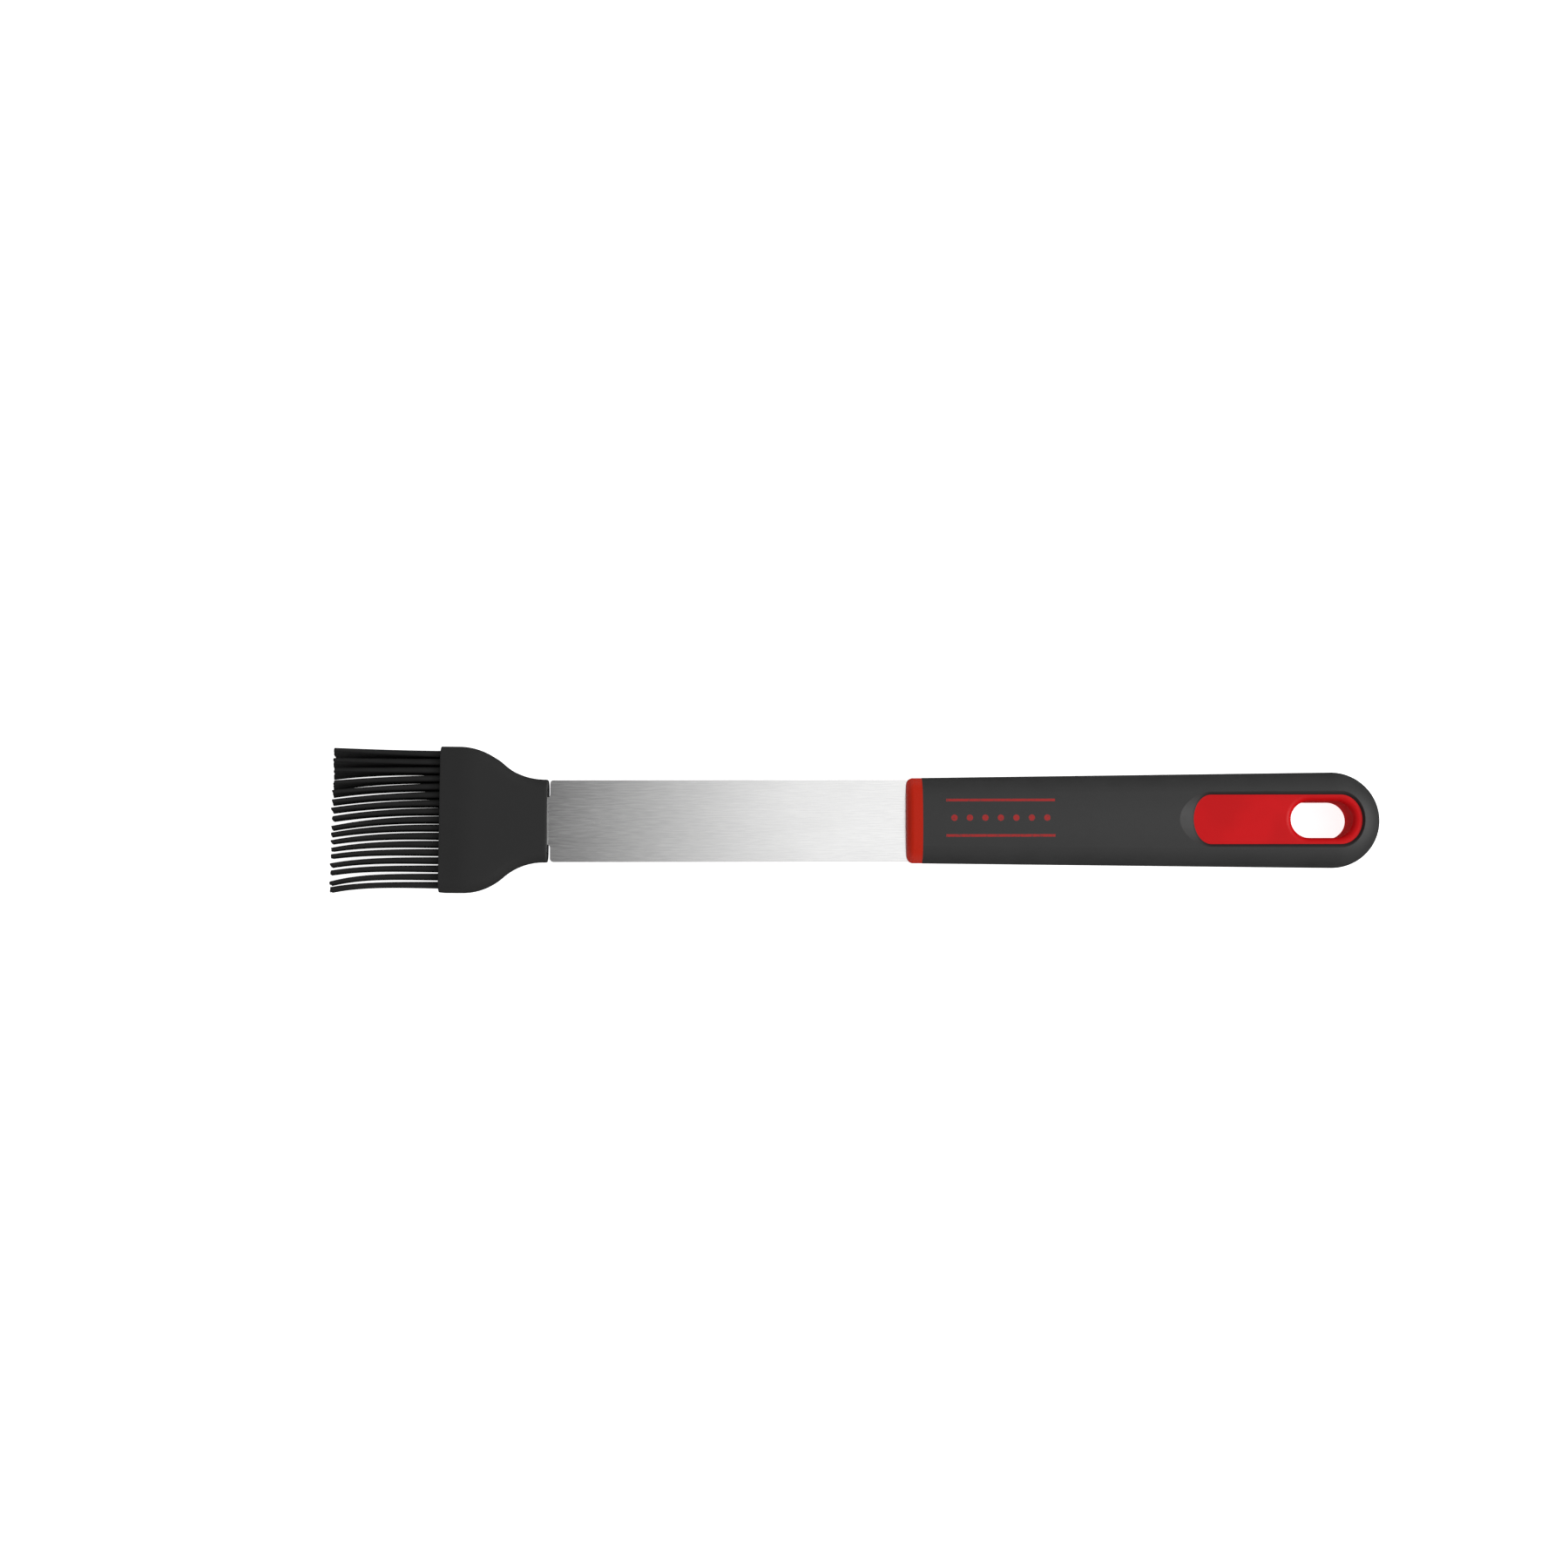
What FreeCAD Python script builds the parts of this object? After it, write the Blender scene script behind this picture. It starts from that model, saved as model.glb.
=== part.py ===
import FreeCAD, Part
import math
import os
import Sketcher

# A long silicone basting brush, lying flat. X runs along the brush, from the bristle tips to
# the hanging hole. Y runs across it and Z points up. The origin is in the middle of the brush's
# length and width, at the height of the surface that it lies on. Millimetres throughout.

SIZES = {
    # Places along X of the pieces' own origins, and the height of the brush's middle plane.
    "middle_height": 9.5,
    "mouth_place": -145.8,
    "tongue_place": -136.9,
    "collar_place": 17.6,
    # Bristles: tapered rods in straight rows, one row above the other.
    "bristle_length": 38.6,
    "bristle_root_radius": 1.12,
    "bristle_tip_radius": 0.64,
    "bristle_count": 17,
    "bristle_pitch": 2.87,
    "row_pitch": 4.0,
    # Silicone web that the bristles stand on, just inside the boot's mouth.
    "web_recess": 1.17,
    "web_thickness": 5.0,
    # Boot: wide and thick at the mouth, narrow and thin at the rear. From above it has an
    # S-shaped shoulder, and from the side it bends gently into a straight slope.
    "boot_length": 37.0,
    "boot_mouth_width": 51.2,
    "boot_rear_width": 29.2,
    "boot_mouth_thickness": 19.0,
    "boot_rear_thickness": 9.4,
    "boot_wall": 1.1,
    "boot_rounding": 3.4,
    "shoulder_start": 6.4,
    "shoulder_run": 29.2,
    "slope_start": 6.0,
    "slope_bend": 40.0,
    # Hard liner inside the boot, around the tongue.
    "liner_start": 7.7,
    "liner_width": 22.0,
    "liner_thickness": 6.0,
    "socket_depth": 28.3,
    "socket_clearance": 0.06,
    # Stamped steel strip: tongue, blade and tang.
    "strip_thickness": 2.0,
    "tongue_tip_rounding": 3.0,
    "shoulder_rounding": 1.1,
    "tongue_length": 29.0,
    "tongue_width": 16.6,
    "blade_length": 128.5,
    "blade_width": 28.8,
    "tang_length": 114.0,
    "tang_width": 15.0,
    "lock_hole_radius": 3.0,
    "lock_hole_place": 184.0,
    "lock_hole_spacing": 45.0,
    # Handle: an oval section that grows a little towards a round end.
    "collar_length": 5.5,
    "collar_rounding": 2.4,
    "front_width": 30.1,
    "front_thickness": 18.0,
    "tail_width": 33.8,
    "tail_thickness": 19.0,
    "tail_place": 149.9,
    "side_share": 0.895,
    "skin_side": 2.2,
    "skin_top": 2.6,
    # Inlay: an island of the core that shows in a dimple on both faces, with rounder ends.
    "inlay_near": 106.3,
    "inlay_near_end": 6.1,
    "inlay_far": 151.7,
    "inlay_far_end": 7.5,
    "inlay_width": 17.3,
    "inlay_level": 7.3,
    "dimple_depth": 2.5,
    "dimple_near_flare": 6.4,
    "dimple_far_flare": 1.8,
    "dimple_side_flare": 2.9,
    # Hanging hole: a slot through the inlay.
    "hole_near": 140.95,
    "hole_far": 149.75,
    "hole_radius": 6.45,
    "hole_rounding": 2.1,
}

ROW_COUNT = 4

# Room of the boot's mouth, inside its wall.
MOUTH_WIDTH = "sizes.boot_mouth_width - 2 * sizes.boot_wall"
MOUTH_THICKNESS = "sizes.boot_mouth_thickness - 2 * sizes.boot_wall"
MOUTH_ROUNDING = "sizes.boot_rounding - sizes.boot_wall"
MOUTH_DEPTH = "sizes.web_recess + sizes.web_thickness"

# Lengths that are the same within TIGHT count as one, and a cutting sketch reaches SPARE beyond.
TIGHT = 1e-6
SPARE = 1.0

doc = FreeCAD.newDocument("basting_brush")
V = FreeCAD.Vector
sizes = doc.addObject("Spreadsheet::Sheet", "sizes")


def fill_sheet():
    """Writes each driving dimension beside its name, with that name as the cell's alias."""
    for line, (name, size) in enumerate(SIZES.items(), start=1):
        sizes.set(f"A{line}", name)
        sizes.set(f"B{line}", str(size))
        sizes.setAlias(f"B{line}", name)
    doc.recompute()


def value(expression):
    """Number that an expression of the sheet's names comes to."""
    return float(sizes.evalExpression(expression.replace("sizes.", "")))


def new_body(label, place="0", turned=0):
    """Body in the brush's middle plane, with its own origin at a place along X."""
    body = doc.addObject("PartDesign::Body", label)
    body.Label = label
    body.Placement = FreeCAD.Placement(V(), FreeCAD.Rotation(V(0, 0, 1), turned))
    body.setExpression("Placement.Base.x", place)
    body.setExpression("Placement.Base.z", "sizes.middle_height")
    return body


def new_sketch(body, name, role, offset=None):
    """Sketch on one of the body's own origin planes, moved along its normal by the offset."""
    sketch = body.newObject("Sketcher::SketchObject", name)
    plane = next(item for item in body.Origin.OriginFeatures if item.Role == role)
    sketch.AttachmentSupport = [(plane, "")]
    sketch.MapMode = "FlatFace"
    if offset:
        sketch.setExpression("AttachmentOffset.Base.z", offset)
    return sketch


def dimension(sketch, kind, *ends, size):
    """Dimension in the sketch that follows an expression of the sheet."""
    number = sketch.addConstraint(Sketcher.Constraint(kind, *ends, value(size)))
    sketch.setExpression(f"Constraints[{number}]", size)


def add_arc(sketch, centre, radius, start, end):
    """Arc about a centre, anticlockwise from one angle to the other."""
    circle = Part.Circle(centre, V(0, 0, 1), radius)
    return sketch.addGeometry(Part.ArcOfCircle(circle, start, end))


def join_ends(sketch):
    """Ties together every two ends of the sketch's lines and arcs that meet."""
    ends = [(item, end) for item in range(sketch.GeometryCount) for end in (1, 2)]
    for index, first in enumerate(ends):
        for second in ends[index + 1:]:
            gap = sketch.getPoint(*first).distanceToPoint(sketch.getPoint(*second))
            if first[0] != second[0] and gap < TIGHT:
                sketch.addConstraint(Sketcher.Constraint("Coincident", *first, *second))


def rectangle(sketch, near, far, width):
    """Rectangle centred on the sketch's horizontal axis, between two places along it."""
    left, right, half = value(near), value(far), value(width) / 2
    corners = [V(left, -half), V(right, -half), V(right, half), V(left, half)]
    for index, corner in enumerate(corners):
        sketch.addGeometry(Part.LineSegment(corner, corners[(index + 1) % 4]))
    join_ends(sketch)
    for line, kind in ((0, "Horizontal"), (2, "Horizontal"), (3, "Vertical")):
        sketch.addConstraint(Sketcher.Constraint(kind, line))
    sketch.addConstraint(Sketcher.Constraint("Symmetric", 1, 1, 1, 2, -1))
    dimension(sketch, "DistanceY", 1, 1, 1, 2, size=width)
    dimension(sketch, "DistanceX", 0, 1, 0, 2, size=f"({far}) - ({near})")
    dimension(sketch, "DistanceX", -1, 1, 0, 2, size=far)


def centred_rectangle(sketch, width, height):
    """Rectangle centred on the sketch's origin."""
    rectangle(sketch, f"-({width}) / 2", f"({width}) / 2", height)


def ellipse(sketch, across, upward, centre=None):
    """Ellipse of two full widths, centred on the horizontal axis or on the origin."""
    middle = V(value(centre), 0) if centre else V()
    half_across, half_upward = V(value(across) / 2, 0), V(0, value(upward) / 2)
    wide = half_across.Length > half_upward.Length
    long_half, short_half = (half_across, half_upward) if wide else (half_upward, half_across)
    curve = sketch.addGeometry(Part.Ellipse(middle + long_half, middle + short_half, middle))
    sketch.exposeInternalGeometry(curve)
    long_line, short_line = curve + 1, curve + 2
    sketch.addConstraint(Sketcher.Constraint("Horizontal" if wide else "Vertical", long_line))
    dimension(sketch, "Distance", long_line, size=across if wide else upward)
    dimension(sketch, "Distance", short_line, size=upward if wide else across)
    if centre:
        sketch.addConstraint(Sketcher.Constraint("PointOnObject", curve, 3, -1))
        dimension(sketch, "DistanceX", -1, 1, curve, 3, size=centre)
    else:
        sketch.addConstraint(Sketcher.Constraint("Coincident", curve, 3, -1, 1))


def slot(sketch, near, far, radius):
    """Straight slot with half-round ends about two centres on the horizontal axis."""
    first, last, bend = V(value(near), 0), V(value(far), 0), value(radius)
    up = V(0, bend)
    quarter = math.pi / 2
    add_arc(sketch, first, bend, quarter, 3 * quarter)
    sketch.addGeometry(Part.LineSegment(first - up, last - up))
    add_arc(sketch, last, bend, -quarter, quarter)
    sketch.addGeometry(Part.LineSegment(last + up, first + up))
    join_ends(sketch)
    for arc, place in ((0, near), (2, far)):
        sketch.addConstraint(Sketcher.Constraint("PointOnObject", arc, 3, -1))
        dimension(sketch, "DistanceX", -1, 1, arc, 3, size=place)
        dimension(sketch, "Radius", arc, size=radius)


def pad(body, sketch, length, both_ways=False):
    """Material of a given length from the sketch, to one side of it or half to each side."""
    feature = body.newObject("PartDesign::Pad", sketch.Name + "_pad")
    feature.Profile = sketch
    feature.setExpression("Length", length)
    feature.Midplane = both_ways
    doc.recompute()
    return feature


def pocket(body, sketch, depth=None):
    """Hollow of a given depth below the sketch, or right through to both sides of it."""
    before = body.Tip.Shape.Volume
    feature = body.newObject("PartDesign::Pocket", sketch.Name + "_pocket")
    feature.Profile = sketch
    if depth:
        feature.setExpression("Length", depth)
    else:
        feature.Type = "ThroughAll"
        feature.Midplane = True
    doc.recompute()
    assert feature.Shape.Volume < before - TIGHT, f"{feature.Name} cuts nothing"
    return feature


def loft(body, kind, sketches):
    """Straight loft, PartDesign's AdditiveLoft or SubtractiveLoft, through two sections."""
    feature = body.newObject("PartDesign::" + kind, sketches[0].Name + "_loft")
    feature.Profile = sketches[0]
    feature.Sections = sketches[1:]
    feature.Ruled = True
    doc.recompute()
    return feature


def runs_along_x(box):
    """Whether the bounding box is that of a straight edge along X."""
    return box.XLength > TIGHT and box.YLength < TIGHT and box.ZLength < TIGHT


def runs_along_z(box):
    """Whether the bounding box is that of a straight edge along Z."""
    return box.ZLength > TIGHT and box.XLength < TIGHT and box.YLength < TIGHT


def edges_where(shape, test):
    """Names of the edges whose bounding box passes the test."""
    return [
        f"Edge{number}"
        for number, edge in enumerate(shape.Edges, start=1)
        if test(edge.BoundBox)
    ]


def fillet(body, base, test, radius):
    """Rounds the edges of the base whose bounding box passes the test."""
    feature = body.newObject("PartDesign::Fillet", base.Name + "_round")
    feature.Base = (base, edges_where(base.Shape, test))
    feature.setExpression("Radius", radius)
    doc.recompute()
    return feature


def cut(label, base, tool):
    """Base with the tool's room taken out of it."""
    feature = doc.addObject("Part::Cut", label)
    feature.Label = label
    feature.Base = base
    feature.Tool = tool
    doc.recompute()
    return feature


def bristle_row(number):
    """One row of separate bristles. Each is a tapered rod with a round root on the body's Y."""
    body = new_body(f"bristle_row_{number}", "sizes.mouth_place", turned=180)
    body.AllowCompound = True
    body.setExpression("Placement.Base.y", "(sizes.bristle_count - 1) * sizes.bristle_pitch / 2")
    steps_up = number - (ROW_COUNT + 1) / 2
    height = f"sizes.middle_height + {steps_up} * sizes.row_pitch"
    body.setExpression("Placement.Base.z", height)

    length = SIZES["bristle_length"]
    root, tip = SIZES["bristle_root_radius"], SIZES["bristle_tip_radius"]
    profile = new_sketch(body, f"bristle_{number}", "XY_Plane")
    add_arc(profile, V(), root, math.pi / 2, math.pi)
    profile.addGeometry(Part.LineSegment(V(-root, 0), V(length, 0)))
    profile.addGeometry(Part.LineSegment(V(length, 0), V(length, tip)))
    profile.addGeometry(Part.LineSegment(V(length, tip), V(0, root)))
    join_ends(profile)
    profile.addConstraint(Sketcher.Constraint("Coincident", 0, 3, -1, 1))
    profile.addConstraint(Sketcher.Constraint("Horizontal", 1))
    profile.addConstraint(Sketcher.Constraint("Vertical", 2))
    profile.addConstraint(Sketcher.Constraint("PointOnObject", 0, 1, -2))
    profile.addConstraint(Sketcher.Constraint("PointOnObject", 0, 2, -1))
    dimension(profile, "Radius", 0, size="sizes.bristle_root_radius")
    dimension(profile, "DistanceX", -1, 1, 1, 2, size="sizes.bristle_length")
    dimension(profile, "DistanceY", 2, 1, 2, 2, size="sizes.bristle_tip_radius")

    turned = body.newObject("PartDesign::Revolution", f"bristle_{number}_turned")
    turned.Profile = profile
    turned.ReferenceAxis = (profile, ["H_Axis"])
    turned.Angle = 360
    doc.recompute()

    row = body.newObject("PartDesign::LinearPattern", f"bristle_{number}_row")
    row.Originals = [turned]
    row.Direction = (profile, ["V_Axis"])
    row.setExpression("Length", "(sizes.bristle_count - 1) * sizes.bristle_pitch")
    row.setExpression("Occurrences", "sizes.bristle_count")
    body.Tip = row
    doc.recompute()
    return body


def bristle_web():
    """Slab just behind the roots, filling the boot's mouth from wall to wall."""
    body = new_body("bristle_web", "sizes.mouth_place")
    face = new_sketch(body, "web_face", "YZ_Plane", "sizes.web_recess")
    centred_rectangle(face, MOUTH_WIDTH, MOUTH_THICKNESS)
    slab = pad(body, face, "sizes.web_thickness")
    fillet(body, slab, runs_along_x, MOUTH_ROUNDING)
    return body


def s_curve(sketch, start, run, level, drop, side):
    """Two equal tangent arcs that lead from one level to a lower one, above or below the axis."""
    turn = 2 * math.atan(drop / run)
    radius = run / math.sin(turn) / 2
    middle = V(start + run / 2, side * (level - drop / 2))
    for end, bulge in ((V(start, side * level), 1), (V(start + run, side * (level - drop)), -1)):
        centre = end - V(0, side * bulge * radius)
        direction = ((end - centre) + (middle - centre)).normalize()
        sketch.addGeometry(Part.Arc(end, centre + direction * radius, middle))


def boot_plan(body):
    """Boot from above: straight sides at the mouth, an S-shaped shoulder, and a narrow rear."""
    plan = new_sketch(body, "boot_plan", "XY_Plane")
    wide, narrow = SIZES["boot_mouth_width"] / 2, SIZES["boot_rear_width"] / 2
    start, run = SIZES["shoulder_start"], SIZES["shoulder_run"]
    rear = SIZES["boot_length"]
    plan.addGeometry(Part.LineSegment(V(0, -wide), V(0, wide)))
    plan.addGeometry(Part.LineSegment(V(rear, -narrow), V(rear, narrow)))
    for side in (1, -1):
        plan.addGeometry(Part.LineSegment(V(0, side * wide), V(start, side * wide)))
        s_curve(plan, start, run, wide, wide - narrow, side)
        plan.addGeometry(Part.LineSegment(V(start + run, side * narrow), V(rear, side * narrow)))
    join_ends(plan)
    return plan


def boot_slopes(body):
    """Room above and below the boot, where it gets thinner towards the rear."""
    side_view = new_sketch(body, "boot_slopes", "XZ_Plane")
    thick, thin = SIZES["boot_mouth_thickness"] / 2, SIZES["boot_rear_thickness"] / 2
    start, bend, rear = SIZES["slope_start"], SIZES["slope_bend"], SIZES["boot_length"]
    to_rear = V(rear - start, thin - thick + bend)
    steepness = math.atan2(to_rear.x, to_rear.y) - math.acos(bend / to_rear.Length)
    clear = thick + SPARE
    for side in (1, -1):
        def at_turn(angle):
            height = thick - bend * (1 - math.cos(angle))
            return V(start + bend * math.sin(angle), side * height)

        side_view.addGeometry(Part.Arc(at_turn(0), at_turn(steepness / 2), at_turn(steepness)))
        corners = [
            at_turn(steepness),
            V(rear, side * thin),
            V(rear, side * clear),
            V(start, side * clear),
            at_turn(0),
        ]
        for here, there in zip(corners, corners[1:]):
            side_view.addGeometry(Part.LineSegment(here, there))
    join_ends(side_view)
    return side_view


def brush_boot():
    """Silicone boot: mouth pocket for the web and bristles, rear pocket for the liner."""
    body = new_body("brush_boot", "sizes.mouth_place")
    pad(body, boot_plan(body), "sizes.boot_mouth_thickness", both_ways=True)
    thinned = pocket(body, boot_slopes(body))

    def outer_corner(box):
        return box.XLength > TIGHT and box.YMin * box.YMax > 0 and box.ZMin * box.ZMax > 0

    fillet(body, thinned, outer_corner, "sizes.boot_rounding")
    mouth = new_sketch(body, "boot_mouth", "YZ_Plane", MOUTH_DEPTH)
    centred_rectangle(mouth, MOUTH_WIDTH, MOUTH_THICKNESS)
    hollow = pocket(body, mouth, MOUTH_DEPTH)
    half_width = value(MOUTH_WIDTH) / 2

    def mouth_corner(box):
        return runs_along_x(box) and abs(abs(box.YMax) - half_width) < TIGHT

    fillet(body, hollow, mouth_corner, MOUTH_ROUNDING)
    rear = new_sketch(body, "boot_rear", "YZ_Plane", "sizes.boot_length")
    centred_rectangle(rear, "sizes.liner_width", "sizes.liner_thickness")
    pocket(body, rear, "sizes.boot_length - sizes.liner_start")
    return body


def socket_liner():
    """Hard block inside the boot, with a flat socket for the tongue."""
    body = new_body("socket_liner", "sizes.mouth_place")
    block = new_sketch(body, "liner_block", "YZ_Plane", "sizes.liner_start")
    centred_rectangle(block, "sizes.liner_width", "sizes.liner_thickness")
    pad(body, block, "sizes.boot_length - sizes.liner_start")
    socket = new_sketch(body, "liner_socket", "YZ_Plane", "sizes.boot_length")
    centred_rectangle(
        socket,
        "sizes.tongue_width + 2 * sizes.socket_clearance",
        "sizes.strip_thickness + 2 * sizes.socket_clearance",
    )
    pocket(body, socket, "sizes.socket_depth")
    return body


def steel_shaft():
    """One stamped strip: tongue for the head, wide blade, and a tang with two lock holes."""
    body = new_body("steel_shaft", "sizes.tongue_place")
    blade_end = "sizes.tongue_length + sizes.blade_length"
    stretches = (
        ("tongue", "0", "sizes.tongue_length", "sizes.tongue_width"),
        ("blade", "sizes.tongue_length", blade_end, "sizes.blade_width"),
        ("tang", blade_end, f"{blade_end} + sizes.tang_length", "sizes.tang_width"),
    )
    for name, near, far, width in stretches:
        sketch = new_sketch(body, name, "XY_Plane")
        rectangle(sketch, near, far, width)
        strip = pad(body, sketch, "sizes.strip_thickness", both_ways=True)
    for number in (0, 1):
        sketch = new_sketch(body, f"lock_hole_{number}", "XY_Plane")
        place = f"sizes.lock_hole_place + {number} * sizes.lock_hole_spacing"
        circle = Part.Circle(V(value(place), 0), V(0, 0, 1), SIZES["lock_hole_radius"])
        sketch.addGeometry(circle)
        sketch.addConstraint(Sketcher.Constraint("PointOnObject", 0, 3, -1))
        dimension(sketch, "DistanceX", -1, 1, 0, 3, size=place)
        dimension(sketch, "Radius", 0, size="sizes.lock_hole_radius")
        strip = pocket(body, sketch)

    def tongue_tip(box):
        return runs_along_z(box) and box.XMax < TIGHT

    strip = fillet(body, strip, tongue_tip, "sizes.tongue_tip_rounding")
    fillet(body, strip, runs_along_z, "sizes.shoulder_rounding")
    return body


def oval_sizes(place, inset):
    """Side arc's centre and radius, and the crown's radius, at a place along the handle."""
    share = f"({place}) / sizes.tail_place"
    half_width = f"(sizes.front_width + (sizes.tail_width - sizes.front_width) * {share}) / 2"
    half_height = (
        f"(sizes.front_thickness + (sizes.tail_thickness - sizes.front_thickness) * {share}) / 2"
    )
    if inset:
        half_width += " - sizes.skin_side"
        half_height += " - sizes.skin_top"
    side = f"(sizes.side_share * ({half_height}))"
    reach = f"(({half_width}) - {side})"
    crown = f"({reach}^2 + ({half_height})^2 - {side}^2) / (2 * (({half_height}) - {side}))"
    return reach, side, crown


def oval(body, name, place, inset=False):
    """Section of the handle, or of the core inside it: two flat crowns and two round sides."""
    sketch = new_sketch(body, name, "YZ_Plane", place)
    reach, side, crown = oval_sizes(place, inset)
    out, bend, flat = value(reach), value(side), value(crown)
    rise = math.sqrt((flat - bend) ** 2 - out ** 2)
    lean = math.atan2(rise, out)
    add_arc(sketch, V(out, 0), bend, -lean, lean)
    add_arc(sketch, V(0, -rise), flat, lean, math.pi - lean)
    add_arc(sketch, V(-out, 0), bend, math.pi - lean, math.pi + lean)
    add_arc(sketch, V(0, rise), flat, math.pi + lean, 2 * math.pi - lean)
    for arc in range(4):
        sketch.addConstraint(Sketcher.Constraint("Tangent", arc, 2, (arc + 1) % 4, 1))
    for arc, axis in ((0, -1), (2, -1), (1, -2)):
        sketch.addConstraint(Sketcher.Constraint("PointOnObject", arc, 3, axis))
    sketch.addConstraint(Sketcher.Constraint("Equal", 0, 2))
    sketch.addConstraint(Sketcher.Constraint("Equal", 1, 3))
    dimension(sketch, "DistanceX", -1, 1, 0, 3, size=reach)
    dimension(sketch, "Radius", 0, size=side)
    dimension(sketch, "Radius", 1, size=crown)
    return sketch


def round_tail(body, name, inset=False):
    """Half of the last section, turned about its short axis to close the handle's end."""
    sketch = new_sketch(body, name, "YZ_Plane", "sizes.tail_place")
    reach, side, crown = oval_sizes("sizes.tail_place", inset)
    out, bend, flat = value(reach), value(side), value(crown)
    rise = math.sqrt((flat - bend) ** 2 - out ** 2)
    lean = math.atan2(rise, out)
    add_arc(sketch, V(out, 0), bend, -lean, lean)
    add_arc(sketch, V(0, -rise), flat, lean, math.pi / 2)
    add_arc(sketch, V(0, rise), flat, 3 * math.pi / 2, 2 * math.pi - lean)
    top, bottom = V(0, flat - rise), V(0, rise - flat)
    sketch.addGeometry(Part.LineSegment(top, bottom))
    for joint in ((0, 2, 1, 1), (2, 2, 0, 1)):
        sketch.addConstraint(Sketcher.Constraint("Tangent", *joint))
    for joint in ((1, 2, 3, 1), (2, 1, 3, 2)):
        sketch.addConstraint(Sketcher.Constraint("Coincident", *joint))
    for item, point, axis in ((0, 3, -1), (1, 3, -2), (2, 3, -2), (3, 1, -2), (3, 2, -2)):
        sketch.addConstraint(Sketcher.Constraint("PointOnObject", item, point, axis))
    sketch.addConstraint(Sketcher.Constraint("Equal", 1, 2))
    dimension(sketch, "DistanceX", -1, 1, 0, 3, size=reach)
    dimension(sketch, "Radius", 0, size=side)
    dimension(sketch, "Radius", 1, size=crown)

    tail = body.newObject("PartDesign::Revolution", name + "_turned")
    tail.Profile = sketch
    tail.ReferenceAxis = (sketch, ["V_Axis"])
    tail.Angle = 180
    tail.Reversed = True
    doc.recompute()
    return tail


def inlay_outline(body, name, level=None, near_flare="0", far_flare="0", side_flare="0"):
    """Three sketches whose union is the inlay's outline: a straight middle and two oval ends."""
    width = f"sizes.inlay_width + 2 * ({side_flare})"
    middle = new_sketch(body, name + "_middle", "XY_Plane", level)
    rectangle(middle, "sizes.inlay_near", "sizes.inlay_far", width)
    near = new_sketch(body, name + "_near", "XY_Plane", level)
    ellipse(near, f"2 * (sizes.inlay_near_end + {near_flare})", width, "sizes.inlay_near")
    far = new_sketch(body, name + "_far", "XY_Plane", level)
    ellipse(far, f"2 * (sizes.inlay_far_end + {far_flare})", width, "sizes.inlay_far")
    return middle, near, far


def core_blank():
    """Core before the tang and the hanging hole are cut from it."""
    body = new_body("core_blank", "sizes.collar_place")
    collar = pad(body, oval(body, "collar_front", "0"), "sizes.collar_length")

    def front_rim(box):
        return box.XMax < TIGHT

    fillet(body, collar, front_rim, "sizes.collar_rounding")
    start = oval(body, "core_start", "sizes.collar_length", inset=True)
    end = oval(body, "core_end", "sizes.tail_place", inset=True)
    loft(body, "AdditiveLoft", [start, end])
    round_tail(body, "core_tail", inset=True)
    for sketch in inlay_outline(body, "inlay"):
        pad(body, sketch, "2 * sizes.inlay_level", both_ways=True)
    return body


def grip_blank():
    """Grip's outside with its two dimples, before the core's room is cut from it."""
    body = new_body("grip_blank", "sizes.collar_place")
    start = oval(body, "grip_start", "sizes.collar_length")
    end = oval(body, "grip_end", "sizes.tail_place")
    loft(body, "AdditiveLoft", [start, end])
    round_tail(body, "grip_tail")
    floors = inlay_outline(body, "dimple_floor", "sizes.inlay_level")
    rims = inlay_outline(
        body,
        "dimple_rim",
        "sizes.inlay_level + sizes.dimple_depth",
        "sizes.dimple_near_flare",
        "sizes.dimple_far_flare",
        "sizes.dimple_side_flare",
    )
    dimple = [loft(body, "SubtractiveLoft", pair) for pair in zip(floors, rims)]
    mirrored = body.newObject("PartDesign::Mirrored", "dimple_below")
    mirrored.Originals = dimple
    plane = next(item for item in body.Origin.OriginFeatures if item.Role == "XY_Plane")
    mirrored.MirrorPlane = (plane, [""])
    body.Tip = mirrored
    doc.recompute()
    return body


def hanging_slot():
    """Room for the hanging hole."""
    body = new_body("hanging_slot", "sizes.collar_place")
    sketch = new_sketch(body, "hole_outline", "XY_Plane")
    slot(sketch, "sizes.hole_near", "sizes.hole_far", "sizes.hole_radius")
    pad(body, sketch, "2 * sizes.tail_thickness", both_ways=True)
    return body


def handle_core(blank, shaft):
    """Core with the steel's room and the hanging hole, whose two rims are rounded."""
    around_steel = cut("core_around_steel", blank, shaft)
    holed = cut("core_with_hole", around_steel, hanging_slot())
    inside_near = SIZES["collar_place"] + SIZES["hole_near"] - SIZES["hole_radius"] - TIGHT
    inside_far = SIZES["collar_place"] + SIZES["hole_far"] + SIZES["hole_radius"] + TIGHT

    def on_rim(box):
        level = abs(box.ZMax - SIZES["middle_height"])
        flat = box.ZLength < TIGHT and abs(level - SIZES["inlay_level"]) < TIGHT
        inside = box.XMin > inside_near and box.XMax < inside_far
        return flat and inside and abs(box.YMax) < SIZES["hole_radius"] + TIGHT

    rim = edges_where(holed.Shape, on_rim)
    feature = doc.addObject("Part::Fillet", "handle_core")
    feature.Label = "handle_core"
    feature.Base = holed
    radius = SIZES["hole_rounding"]
    feature.Edges = [(int(name[4:]), radius, radius) for name in rim]
    doc.recompute()
    return feature


def check_document():
    """Stops if any object of the document failed."""
    for item in doc.Objects:
        state = set(item.State)
        assert not state & {"Invalid", "Error"}, f"{item.Label}: {item.State}"


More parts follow.
